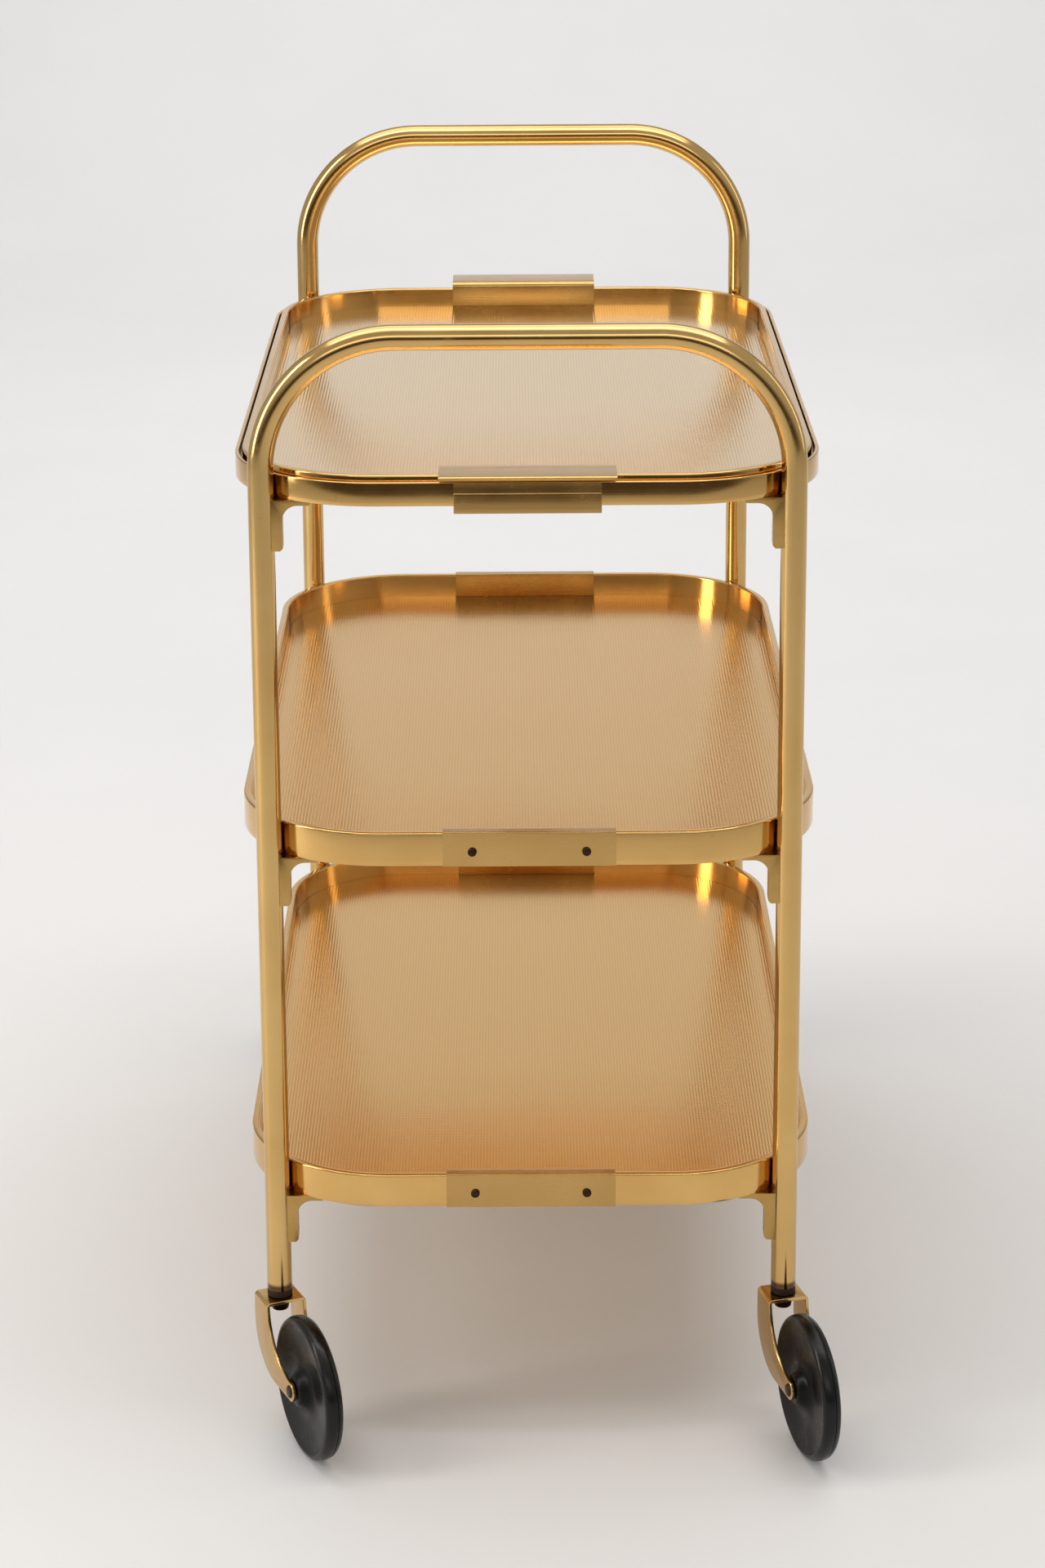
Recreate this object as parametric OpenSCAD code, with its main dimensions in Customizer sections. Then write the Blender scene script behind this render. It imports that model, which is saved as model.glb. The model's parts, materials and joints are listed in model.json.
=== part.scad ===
// Three-tier serving trolley: two bent-tube end frames, three rounded trays
// and four swivel castors. Millimetres, +Z up, floor at z = 0, long way along Y.

/* [Overall] */
// length of the shelves, along Y
cart_len = 700; // [600:5:820]
// width of the shelves, along X
cart_wid = 433; // [380:1:520]
// outer corner radius of the shelf rims
corner_r = 108; // [95:1:130]

/* [Heights] */
// height of the top edge of the fixed band that carries the lift-off tray
top_z = 752.5; // [700:0.5:800]
// height of the top edge of the middle rim
mid_z = 487.5; // [440:0.5:540]
// height of the top edge of the lower rim
low_z = 215.5; // [207:0.5:260]
// centreline height of the front handle bar
front_bar_z = 853; // [845:0.5:930]
// centreline height of the rear handle bar
rear_bar_z = 897; // [845:0.5:960]

/* [Tube frames] */
// outside diameter of the frame tube
tube_d = 19; // [16:0.5:22]
// wall of the frame tube
tube_wall = 1.5; // [1:0.1:2.5]
// centreline radius of the handle bends
bend_r = 98; // [60:1:98]
// distance from the side of a rim in to the centre of a leg
leg_inset = 24; // [18:1:34]

/* [Shelves] */
// height of the shelf rims
rim_h = 25.5; // [22:0.5:34]
// thickness of the shelf rims
rim_t = 6; // [5:0.5:8]
// thickness of the rim walls
skin = 1.8; // [1.2:0.1:2.2]
// width of the ledge that carries a deck
ledge_w = 6; // [4:0.5:10]
// thickness of the ledge that carries a deck
ledge_t = 4; // [3:0.5:5]
// thickness of the deck sheet
deck_t = 1.5; // [1:0.1:2]

/* [Top tray] */
// height of the fixed band round the tray
band_h = 17.7; // [15:0.1:24]
// thickness of the fixed band
band_t = 3; // [2:0.1:4]
// gap between the band and the tray all round
tray_gap = 2.5; // [1:0.1:4]
// thickness of the ledge under the tray
band_ledge_t = 3; // [2:0.1:4]
// height of the tray rim
tray_h = 18.7; // [17:0.1:26]
// width of the tray handles
grip_w = 127; // [80:1:170]
// how far the tray handles stand out past the band
grip_out = 25; // [15:1:35]
// height of the tray handles above the tray rim
grip_rise = 6; // [5.5:0.1:12]
// sheet thickness of the tray handles
grip_t = 1.5; // [1:0.1:2]
// width of the end plates under the handles
plate_w = 106; // [60:1:140]
// height of the end plates
plate_h = 22.5; // [19:0.5:30]

/* [Rim clips] */
// width of the folded clips that cover the rim joints
clip_w = 127; // [80:1:170]
// thickness of the outer leaf of a clip
clip_t = 1.5; // [1:0.1:2]
// thickness of the hemmed inner leaf of a clip
clip_in = 2.5; // [1.5:0.1:3.5]
// distance between the two rivets of a clip
rivet_gap = 84; // [50:1:110]
// diameter of a rivet head
rivet_d = 6.6; // [4:0.1:8]

/* [Corner brackets] */
// width of a bracket along Y
brk_w = 12; // [9:0.5:13]
// thickness of the bracket leg beside the tube
brk_leg = 6; // [4:0.5:8]
// thickness of the bracket arm under the rim
brk_arm = 4; // [3:0.5:6]
// how far the bracket reaches below the rim
brk_drop = 38; // [32:1:50]
// radius of the hollow between leg and arm
brk_r = 11; // [6:0.5:14]

/* [Castors] */
// wheel diameter
wheel_d = 109; // [94:1:112]
// width of the tyre
wheel_w = 14; // [12:0.5:18]
// distance from swivel axis to wheel centre
trail = 57; // [50:1:62]
// turn of the front left castor, in degrees; the rear right one is its half-turn copy
turn_left = 25; // [0:1:45]
// turn of the front right castor, in degrees; the rear left one is its half-turn copy
turn_right = 16; // [0:1:45]
// width of the fork over its arms
fork_w = 32; // [31:0.5:38]
// length of the fork top plate
fork_l = 26; // [24:0.5:30]
// sheet thickness of the fork
fork_t = 2.5; // [2:0.1:3]
// diameter of the swivel pin
pin_d = 8; // [6:0.5:9]
// diameter of the wheel axle
axle_d = 8; // [6:0.5:9]
// running gap round pins and axles
run_gap = 0.05; // [0.02:0.01:0.1]

/* [Hidden] */
$fn = 96;
half_l = cart_len / 2;
half_w = cart_wid / 2;
tube_r = tube_d / 2;
bore_r = tube_r - tube_wall;
// leg centres: the tubes stand just clear of the rounded rim corners
leg_x = half_w - leg_inset;
ctr_x = half_w - corner_r;
ctr_y = half_l - corner_r;
leg_gap = tube_r + 0.6;
leg_dy = sqrt((corner_r + leg_gap) * (corner_r + leg_gap) - (corner_r - leg_inset) * (corner_r - leg_inset));
leg_y = ctr_y + leg_dy;
foot_t = rim_t + ledge_w;
// bracket arm: long enough to reach the screw under the ledge
screw_r = corner_r - rim_t - 2;
screw_x = ctr_x + sqrt(screw_r * screw_r - leg_dy * leg_dy);
arm_end = screw_x - 8;
arm_len = leg_x - arm_end;
screw_d = 4;
head_r = 3.6;
head_h = 1.6;
// tray
tray_in = band_t + tray_gap;
tray_z = top_z - band_h + band_ledge_t;
tray_top = tray_z + tray_h;
tray_ledge = 1.5;
tray_l = cart_len - 2 * tray_in;
tray_w = cart_wid - 2 * tray_in;
tray_r = corner_r - tray_in;
// castors
wheel_r = wheel_d / 2;
plate_z = wheel_d - 3;
collar_z = plate_z + 0.5;
leg_z = collar_z + 5.5;
nut_h = 8.5;
nut_z = plate_z - fork_t - 0.3 - nut_h;
arm_r = 7.5;
hub_w = fork_w - 2 * fork_t - 2;

// straight run of a profile, laid along X at distance dist from the middle
module side(dist, run) {
  translate([-run / 2, 0, 0])
    rotate([90, 0, 90])
      linear_extrude(height = run)
        translate([dist, 0])
          mirror([1, 0, 0])
            children();
}

// quarter turn of a profile round a corner of radius r
module corner(r) {
  rotate_extrude(angle = 90)
    translate([r, 0])
      mirror([1, 0, 0])
        children();
}

// closed rounded-rectangle band; profile x is the distance in from the outside
module band(len, wid, r) {
  for (k = [0 : 1]) {
    rotate([0, 0, 180 * k]) {
      side(len / 2, wid - 2 * r) children();
      rotate([0, 0, -90]) side(wid / 2, len - 2 * r) children();
      translate([wid / 2 - r, len / 2 - r, 0]) corner(r) children();
      translate([r - wid / 2, len / 2 - r, 0]) rotate([0, 0, 90]) corner(r) children();
    }
  }
}

// rounded-rectangle sheet lying on z = 0
module sheet(len, wid, r, t) {
  translate([r - wid / 2, -len / 2, 0]) cube([wid - 2 * r, len, t]);
  for (k = [0 : 1]) {
    rotate([0, 0, 180 * k]) {
      translate([wid / 2 - r, r - len / 2, 0]) cube([r, len - 2 * r, t]);
      translate([wid / 2 - r, len / 2 - r, 0]) rotate_extrude(angle = 90) square([r, t]);
      translate([r - wid / 2, len / 2 - r, 0]) rotate([0, 0, 90]) rotate_extrude(angle = 90) square([r, t]);
    }
  }
}

// profile of an open-bottomed rim with an inner ledge; y = 0 is its underside
module rim_profile(h, lt) {
  e = 1.2;
  polygon([
    [0, 0],
    [0, h - e],
    [e, h],
    [rim_t - e, h],
    [rim_t, h - e],
    [rim_t, lt],
    [foot_t, lt],
    [foot_t, 0],
    [rim_t - skin, 0],
    [rim_t - skin, h - 2],
    [skin, h - 2],
    [skin, 0]
  ]);
}

// the four corners of the trolley, turned copies with +X,+Y as the master
module four_corners() {
  for (k = [0 : 1]) {
    rotate([0, 0, 180 * k]) {
      children();
      mirror([1, 0, 0]) children();
    }
  }
}

// ---------------------------------------------------------------- frames
module tube_run(len) {
  linear_extrude(height = len) {
    difference() {
      circle(r = tube_r);
      circle(r = bore_r);
    }
  }
}

// each end frame is one bent tube, kept as two legs, two bends and a bar that
// meet face to face; these build the +X side in the plane y = 0
module leg(bar_z) {
  difference() {
    translate([leg_x, 0, leg_z]) tube_run(bar_z - bend_r - leg_z);
    for (z = [top_z - band_h, mid_z - rim_h, low_z - rim_h]) {
      translate([leg_x, 0, z - brk_drop + 8])
        rotate([0, -90, 0])
          cylinder(h = tube_r + 2, d = screw_d);
    }
  }
}

module bend(bar_z) {
  translate([leg_x - bend_r, 0, bar_z - bend_r])
    rotate([90, 0, 0])
      rotate_extrude(angle = 90)
        translate([bend_r, 0])
          difference() {
            circle(r = tube_r);
            circle(r = bore_r);
          }
}

module bar(bar_z) {
  run = 2 * (leg_x - bend_r);
  translate([-run / 2, 0, bar_z]) rotate([0, 90, 0]) tube_run(run);
}

module at_front() { color("#B9924F") translate([0, -leg_y, 0]) children(); }
module at_rear() { color("#B9924F") translate([0, leg_y, 0]) children(); }

module front_left_leg() { at_front() mirror([1, 0, 0]) leg(front_bar_z); }
module front_left_bend() { at_front() mirror([1, 0, 0]) bend(front_bar_z); }
module front_bar() { at_front() bar(front_bar_z); }
module front_right_bend() { at_front() bend(front_bar_z); }
module front_right_leg() { at_front() leg(front_bar_z); }
module rear_left_leg() { at_rear() mirror([1, 0, 0]) leg(rear_bar_z); }
module rear_left_bend() { at_rear() mirror([1, 0, 0]) bend(rear_bar_z); }
module rear_bar() { at_rear() bar(rear_bar_z); }
module rear_right_bend() { at_rear() bend(rear_bar_z); }
module rear_right_leg() { at_rear() leg(rear_bar_z); }

// ---------------------------------------------------------------- shelves
// holes for the upright bracket screws, blind from below
module arm_screw_holes(z, depth) {
  four_corners()
    translate([screw_x, leg_y, z - 1])
      cylinder(h = depth + 1, d = screw_d);
}

// through holes for the clip rivets
module rivet_holes(z) {
  for (s = [-1, 1]) {
    for (e = [-1, 1]) {
      translate([s * rivet_gap / 2, e * (half_l - skin - 0.4), z - rim_h * 0.56])
        rotate([-90 * e, 0, 0])
          cylinder(h = 10, d = rivet_d * 0.6);
    }
  }
}

module shelf_rim(z) {
  difference() {
    translate([0, 0, z - rim_h]) band(cart_len, cart_wid, corner_r) rim_profile(rim_h, ledge_t);
    arm_screw_holes(z - rim_h, ledge_t - 0.8);
    rivet_holes(z);
  }
}

// sheet deck, notched at both ends to clear the leaf of a clip or handle
module deck(len, wid, r, edge, notch_w, notch_d) {
  g = edge + 0.2;
  difference() {
    sheet(len - 2 * g, wid - 2 * g, r - g, deck_t);
    for (k = [0, 1]) {
      rotate([0, 0, 180 * k])
        translate([-notch_w / 2 - 0.4, len / 2 - edge - notch_d, -1])
          cube([notch_w + 0.8, 2 * (edge + notch_d), deck_t + 2]);
    }
  }
}

module shelf_deck(z) {
  translate([0, 0, z - rim_h + ledge_t])
    deck(cart_len, cart_wid, corner_r, rim_t, clip_w, clip_in + 0.3);
}

module middle_rim() { color("#B9924F") shelf_rim(mid_z); }
module lower_rim() { color("#B9924F") shelf_rim(low_z); }
module middle_deck() { color("#D2B384") shelf_deck(mid_z); }
module lower_deck() { color("#D2B384") shelf_deck(low_z); }

// folded clip over the rim joint, built at the +Y end
module clip(z) {
  leaf = rim_h - ledge_t;
  difference() {
    translate([0, 0, z])
      side(half_l, clip_w)
        polygon([
          [-clip_t, -rim_h],
          [-clip_t, 0.4],
          [-clip_t + 0.6, 1],
          [rim_t + clip_in - 0.6, 1],
          [rim_t + clip_in, 0.4],
          [rim_t + clip_in, -leaf],
          [rim_t, -leaf],
          [rim_t, 0],
          [0, 0],
          [0, -rim_h]
        ]);
    rivet_holes(z);
  }
}

module middle_front_clip() { color("#C19A55") rotate([0, 0, 180]) clip(mid_z); }
module middle_rear_clip() { color("#C19A55") clip(mid_z); }
module lower_front_clip() { color("#C19A55") rotate([0, 0, 180]) clip(low_z); }
module lower_rear_clip() { color("#C19A55") clip(low_z); }

// one rivet pointing in from the +Y end
module rivet() {
  rotate([90, 0, 0]) {
    translate([0, 0, -clip_t - 0.8]) cylinder(h = 0.8, d = rivet_d);
    translate([0, 0, -clip_t - 1.5]) cylinder(h = 0.7, d1 = rivet_d * 0.6, d2 = rivet_d);
    translate([0, 0, -clip_t]) cylinder(h = clip_t + skin, d = rivet_d * 0.6);
  }
}

module clip_rivets() {
  color("#3A2A1C")
    for (z = [mid_z, low_z]) {
      for (s = [-1, 1]) {
        for (k = [0, 1]) {
          rotate([0, 0, 180 * k])
            translate([s * rivet_gap / 2, half_l, z - rim_h * 0.56])
              rivet();
        }
      }
    }
}

// ---------------------------------------------------------------- top tier
module top_band() {
  z = top_z - band_h;
  w = band_t + tray_gap + rim_t + 2;
  e = 0.8;
  color("#B9924F")
    difference() {
      translate([0, 0, z])
        band(cart_len, cart_wid, corner_r)
          polygon([
            [0, 0],
            [0, band_h - e],
            [e, band_h],
            [band_t - e, band_h],
            [band_t, band_h - e],
            [band_t, band_ledge_t],
            [w, band_ledge_t],
            [w, 0]
          ]);
      arm_screw_holes(z, band_ledge_t - 0.6);
    }
}

// plate over the joint of the fixed band, hooked under it
module end_plate() {
  color("#B08A48")
    translate([0, 0, top_z - 0.5])
      side(half_l, plate_w)
        polygon([
          [-1.5, -plate_h],
          [-1.5, -0.5],
          [-1, 0],
          [0, 0],
          [0, 0.5 - band_h],
          [5, 0.5 - band_h],
          [5, -1 - band_h],
          [0, -1 - band_h],
          [0, -plate_h]
        ]);
}

module top_front_plate() { rotate([0, 0, 180]) end_plate(); }
module top_rear_plate() { end_plate(); }

module tray_rim() {
  color("#C7A05A")
    translate([0, 0, tray_z]) band(tray_l, tray_w, tray_r) rim_profile(tray_h, tray_ledge);
}

module tray_deck() {
  color("#DCC3A0")
    translate([0, 0, tray_z + tray_ledge])
      deck(tray_l, tray_w, tray_r, rim_t, grip_w, grip_t + 0.3);
}

// quarter bend of sheet along X: outer radius r, from +Y round to +Z
module sheet_bend(r, t, w) {
  translate([-w / 2, 0, 0])
    rotate([90, 0, 90])
      rotate_extrude(angle = 90)
        translate([r - t, 0])
          square([t, w]);
}

// folded tray handle at the +Y end
module grip() {
  in_y = half_l - tray_in - rim_t;
  top = tray_top + grip_rise;
  r = grip_t + 3.5;
  lip = grip_t + 1.5;
  base = tray_z + tray_ledge;
  color("#C9A465") {
    // inner leaf against the tray rim
    translate([-grip_w / 2, in_y - grip_t, base]) cube([grip_w, grip_t, top - r - base]);
    // rolled inner edge
    translate([0, in_y - grip_t + r, top - r])
      rotate([0, 0, 180])
        sheet_bend(r, grip_t, grip_w);
    // flat grip
    translate([-grip_w / 2, in_y - grip_t + r, top - grip_t])
      cube([grip_w, half_l + grip_out - lip - in_y + grip_t - r, grip_t]);
    // rolled outer edge
    translate([0, half_l + grip_out - lip, top - lip]) sheet_bend(lip, grip_t, grip_w);
  }
}

module tray_front_handle() { rotate([0, 0, 180]) grip(); }
module tray_rear_handle() { grip(); }

// ---------------------------------------------------------------- brackets
// one cast bracket at the +X,+Y corner, rim underside at z = 0
// countersunk hole that opens on z = 0 and runs up
module screw_hole(depth) {
  translate([0, 0, -1]) cylinder(h = 1, r = head_r);
  cylinder(h = head_h, r1 = head_r, r2 = screw_d / 2);
  cylinder(h = depth, d = screw_d);
}

module bracket() {
  face = leg_x - tube_r - brk_leg;
  difference() {
    translate([0, leg_y + brk_w / 2, 0])
      rotate([90, 0, 0])
        linear_extrude(height = brk_w)
          difference() {
            polygon([
              [arm_end, 0],
              [arm_end, -brk_arm + 1.5],
              [arm_end + 1.5, -brk_arm],
              [face - brk_r, -brk_arm],
              [face - brk_r, -brk_arm - brk_r],
              [face, -brk_arm - brk_r],
              [face, -brk_drop + 2],
              [face + 2, -brk_drop],
              [leg_x - 2, -brk_drop],
              [leg_x - 2, 0]
            ]);
            translate([face - brk_r, -brk_arm - brk_r]) circle(r = brk_r);
          }
    translate([leg_x, leg_y, -brk_drop - 1]) cylinder(h = brk_drop + 2, r = tube_r);
    translate([screw_x, leg_y, -brk_arm]) screw_hole(brk_arm + 1);
    translate([face, leg_y, -brk_drop + 8]) rotate([0, 90, 0]) screw_hole(brk_leg + 3);
  }
}

module top_brackets() { color("#A37F42") translate([0, 0, top_z - band_h]) four_corners() bracket(); }
module middle_brackets() { color("#A37F42") translate([0, 0, mid_z - rim_h]) four_corners() bracket(); }
module lower_brackets() { color("#A37F42") translate([0, 0, low_z - rim_h]) four_corners() bracket(); }

// the two screws of one bracket; depth is how far the upright one bites
module two_screws(depth) {
  face = leg_x - tube_r - brk_leg;
  translate([screw_x, leg_y, -brk_arm]) {
    cylinder(h = brk_arm + depth, d = screw_d);
    cylinder(h = head_h, r1 = head_r, r2 = screw_d / 2);
  }
  translate([face, leg_y, -brk_drop + 8])
    rotate([0, 90, 0]) {
      cylinder(h = brk_leg + tube_wall + 1, d = screw_d);
      cylinder(h = head_h, r1 = head_r, r2 = screw_d / 2);
    }
}

module bracket_screws() {
  color("#8F7238") {
    translate([0, 0, top_z - band_h]) four_corners() two_screws(band_ledge_t - 0.6);
    translate([0, 0, mid_z - rim_h]) four_corners() two_screws(ledge_t - 0.8);
    translate([0, 0, low_z - rim_h]) four_corners() two_screws(ledge_t - 0.8);
  }
}

// ---------------------------------------------------------------- castors
// dark plug in the foot of each leg, with a collar under the tube
module leg_plugs() {
  color("#2E211A")
    four_corners()
      translate([leg_x, leg_y, 0])
        difference() {
          union() {
            translate([0, 0, collar_z]) cylinder(h = leg_z - collar_z, r = tube_r);
            translate([0, 0, leg_z]) cylinder(h = 22, r = bore_r);
          }
          translate([0, 0, collar_z - 1]) cylinder(h = 42, d = pin_d);
        }
}

// swivel pins with the nut that keeps each fork on
module swivel_pins() {
  color("#4A4036")
    four_corners()
      translate([leg_x, leg_y, 0]) {
        translate([0, 0, nut_z]) cylinder(h = leg_z + 20 - nut_z, d = pin_d);
        translate([0, 0, nut_z]) cylinder(h = nut_h, r1 = 6.2, r2 = 8);
      }
}

// place a castor: sx, sy choose the leg; trail runs along local +X
module at_castor(sx, sy) {
  translate([sx * leg_x, sy * leg_y, 0])
    rotate([0, 0, (sx * sy > 0 ? turn_left : turn_right) - 90 + (sy > 0 ? 180 : 0)])
      children();
}

// block with square corners seen from the side, from x0 to x1 and z0 to z1
module side_block(x0, x1, z0, z1) {
  translate([x0, -fork_w, z0]) cube([x1 - x0, 2 * fork_w, z1 - z0]);
}

// level cylinder across the fork
module cross_rod(x, z, r) {
  translate([x, fork_w, z]) rotate([90, 0, 0]) cylinder(h = 2 * fork_w, r = r);
}

// side outline of the fork: plate on top, arms swept down and forward
module fork_outline() {
  half = arm_r - 0.15;
  x0 = -fork_l / 2;
  x1 = fork_l / 2;
  inner = trail - x1;
  outer = trail * 0.7;
  difference() {
    union() {
      side_block(x0, trail, wheel_r - half, plate_z + 1);
      cross_rod(trail, wheel_r, arm_r);
    }
    side_block(x1, trail + arm_r + 1, min(wheel_r + half + inner, plate_z + 1), plate_z + 2);
    cross_rod(trail, wheel_r + half + inner, inner);
    difference() {
      side_block(x0 - 1, x0 + outer, wheel_r - arm_r - 1, wheel_r - half + outer);
      cross_rod(x0 + outer, wheel_r - half + outer, outer);
    }
  }
}

module fork() {
  e = 2;
  color("#B9924F")
    difference() {
      intersection() {
        // folded channel section
        translate([-fork_l / 2, 0, 0])
          rotate([90, 0, 90])
            linear_extrude(height = fork_l / 2 + trail + arm_r + 1)
              polygon([
                [-fork_w / 2, 30],
                [-fork_w / 2, plate_z - e],
                [-fork_w / 2 + e, plate_z],
                [fork_w / 2 - e, plate_z],
                [fork_w / 2, plate_z - e],
                [fork_w / 2, 30],
                [fork_w / 2 - fork_t, 30],
                [fork_w / 2 - fork_t, plate_z - fork_t],
                [fork_t - fork_w / 2, plate_z - fork_t],
                [fork_t - fork_w / 2, 30]
              ]);
        fork_outline();
      }
      translate([0, 0, plate_z - 10]) cylinder(h = 20, r = pin_d / 2 + run_gap);
      translate([trail, fork_w, wheel_r]) rotate([90, 0, 0]) cylinder(h = 2 * fork_w, d = axle_d);
    }
}

module axle() {
  color("#2B2622")
    translate([trail, 0, wheel_r])
      rotate([90, 0, 0]) {
        translate([0, 0, -fork_w / 2]) cylinder(h = fork_w, d = axle_d);
        translate([0, 0, fork_w / 2]) cylinder(h = 1.3, r1 = 5.2, r2 = 4);
        translate([0, 0, -fork_w / 2 - 1.3]) cylinder(h = 1.3, r1 = 4, r2 = 5.2);
      }
}

// wheel centre: swelling hub, dished web and full rim
module wheel_core() {
  b = axle_d / 2 + run_gap;
  h = hub_w / 2;
  w = wheel_w / 2;
  tr = wheel_r - 5;
  // half of the outline from the hub out, as [radius, half thickness]
  half = [
    [b, h],
    [9.5, h],
    [11.5, h - 1.2],
    [14, w + 0.6],
    [18, w - 2],
    [24, w - 3.2],
    [31, w - 2.8],
    [38, w - 1.4],
    [tr - 2, w - 0.4],
    [tr, w]
  ];
  n = len(half);
  color("#1B1A19")
    translate([trail, 0, wheel_r])
      rotate([90, 0, 0])
        rotate_extrude()
          polygon([
            for (i = [0 : 2 * n - 1])
              i < n ? half[i] : [half[2 * n - 1 - i][0], -half[2 * n - 1 - i][1]]
          ]);
}

// solid tyre pressed on the wheel rim
module tyre() {
  w = wheel_w / 2;
  tr = wheel_r - 5;
  color("#141414")
    translate([trail, 0, wheel_r])
      rotate([90, 0, 0])
        rotate_extrude()
          polygon([
            [tr, -w],
            [tr, w],
            [wheel_r - 4, w],
            [wheel_r - 2.4, w - 0.7],
            [wheel_r - 1.1, w - 2],
            [wheel_r - 0.3, w - 4],
            [wheel_r, 1.2],
            [wheel_r, -1.2],
            [wheel_r - 0.3, 4 - w],
            [wheel_r - 1.1, 2 - w],
            [wheel_r - 2.4, 0.7 - w],
            [wheel_r - 4, -w]
          ]);
}

module front_left_fork() { at_castor(-1, -1) fork(); }
module front_left_axle() { at_castor(-1, -1) axle(); }
module front_left_wheel() { at_castor(-1, -1) wheel_core(); }
module front_left_tyre() { at_castor(-1, -1) tyre(); }
module front_right_fork() { at_castor(1, -1) fork(); }
module front_right_axle() { at_castor(1, -1) axle(); }
module front_right_wheel() { at_castor(1, -1) wheel_core(); }
module front_right_tyre() { at_castor(1, -1) tyre(); }
module rear_left_fork() { at_castor(-1, 1) fork(); }
module rear_left_axle() { at_castor(-1, 1) axle(); }
module rear_left_wheel() { at_castor(-1, 1) wheel_core(); }
module rear_left_tyre() { at_castor(-1, 1) tyre(); }
module rear_right_fork() { at_castor(1, 1) fork(); }
module rear_right_axle() { at_castor(1, 1) axle(); }
module rear_right_wheel() { at_castor(1, 1) wheel_core(); }
module rear_right_tyre() { at_castor(1, 1) tyre(); }

front_left_leg();
front_left_bend();
front_bar();
front_right_bend();
front_right_leg();
rear_left_leg();
rear_left_bend();
rear_bar();
rear_right_bend();
rear_right_leg();
top_band();
top_front_plate();
top_rear_plate();
middle_rim();
middle_deck();
middle_front_clip();
middle_rear_clip();
lower_rim();
lower_deck();
lower_front_clip();
lower_rear_clip();
clip_rivets();
top_brackets();
middle_brackets();
lower_brackets();
bracket_screws();
leg_plugs();
swivel_pins();
tray_rim();
tray_deck();
tray_front_handle();
tray_rear_handle();
front_left_fork();
front_left_axle();
front_left_wheel();
front_left_tyre();
front_right_fork();
front_right_axle();
front_right_wheel();
front_right_tyre();
rear_left_fork();
rear_left_axle();
rear_left_wheel();
rear_left_tyre();
rear_right_fork();
rear_right_axle();
rear_right_wheel();
rear_right_tyre();
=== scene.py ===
# %% [markdown]
# # A gold serving trolley, dressed for the camera
# The trolley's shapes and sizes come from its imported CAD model, which this script loads as a fixed
# frame. What is added here is what the eye reads as real: tubes that are truly round, sheet edges that
# catch the light, and the finishes of anodised aluminium, plated steel, moulded plastic and rubber.

# %% Load the fixed frame
import json
import math

import bpy
from mathutils import Matrix, Vector


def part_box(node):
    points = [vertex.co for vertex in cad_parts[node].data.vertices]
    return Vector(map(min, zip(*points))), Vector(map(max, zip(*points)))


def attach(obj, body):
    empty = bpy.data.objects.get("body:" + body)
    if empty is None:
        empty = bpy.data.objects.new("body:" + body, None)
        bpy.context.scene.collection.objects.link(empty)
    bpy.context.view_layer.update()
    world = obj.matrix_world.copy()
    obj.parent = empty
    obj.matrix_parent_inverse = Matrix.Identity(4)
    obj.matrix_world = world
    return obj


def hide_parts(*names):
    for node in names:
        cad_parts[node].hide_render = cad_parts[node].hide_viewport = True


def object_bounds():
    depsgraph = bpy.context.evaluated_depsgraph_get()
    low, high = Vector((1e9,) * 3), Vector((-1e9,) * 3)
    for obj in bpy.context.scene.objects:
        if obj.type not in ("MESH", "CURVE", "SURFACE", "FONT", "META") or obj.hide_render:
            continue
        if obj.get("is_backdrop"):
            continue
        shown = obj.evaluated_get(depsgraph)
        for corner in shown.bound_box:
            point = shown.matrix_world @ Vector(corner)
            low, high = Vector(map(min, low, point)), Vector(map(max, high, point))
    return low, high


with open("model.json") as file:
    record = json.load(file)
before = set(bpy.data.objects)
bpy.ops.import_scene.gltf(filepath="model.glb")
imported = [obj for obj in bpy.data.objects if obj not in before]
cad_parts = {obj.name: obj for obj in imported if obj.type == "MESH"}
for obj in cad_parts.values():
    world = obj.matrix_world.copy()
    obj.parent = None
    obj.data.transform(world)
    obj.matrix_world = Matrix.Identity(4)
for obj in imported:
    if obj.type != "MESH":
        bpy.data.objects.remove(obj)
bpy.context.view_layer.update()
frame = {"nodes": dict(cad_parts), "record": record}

# %% [markdown]
# ## Measuring instead of guessing
# The few that a box can't show, bend radii and wall thicknesses, repeat the design's own values.
# Lengths are in metres.

# %% Read the sizes of the pieces
rim_low, rim_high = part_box("middle_rim")
half_l, half_w = rim_high.y, rim_high.x
rim_h = rim_high.z - rim_low.z
front_low, front_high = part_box("front_bar")
rear_low, rear_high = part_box("rear_bar")
leg_low, leg_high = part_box("front_right_leg")
tube_r = (front_high.y - front_low.y) / 2
leg_x = leg_high.x - tube_r
leg_y = (rear_high.y + rear_low.y) / 2
leg_z = leg_low.z
corner_r, bend_r = 0.108, 0.098
rim_t, foot_w, foot_h = 0.006, 0.006, 0.004
clip_t, plate_t, handle_t = 0.0015, 0.0015, 0.0015
print("shelf", half_l * 2, half_w * 2, "legs", leg_x, leg_y, "tube", tube_r * 2)

# %% [markdown]
# ## A few tools for modelling by hand
# Blender's operators act on whatever is selected, so each step first clears the selection and then
# picks faces, edges or corners by their place. The spin operator turns against the right-hand rule
# when it runs without a window, so `turn` flips its axis once and for all.

# %% Selection, extrude and turn
MM = 0.001


def clear():
    if bpy.context.mode != "OBJECT":
        bpy.ops.object.mode_set(mode="OBJECT")
    bpy.ops.object.select_all(action="DESELECT")


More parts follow.
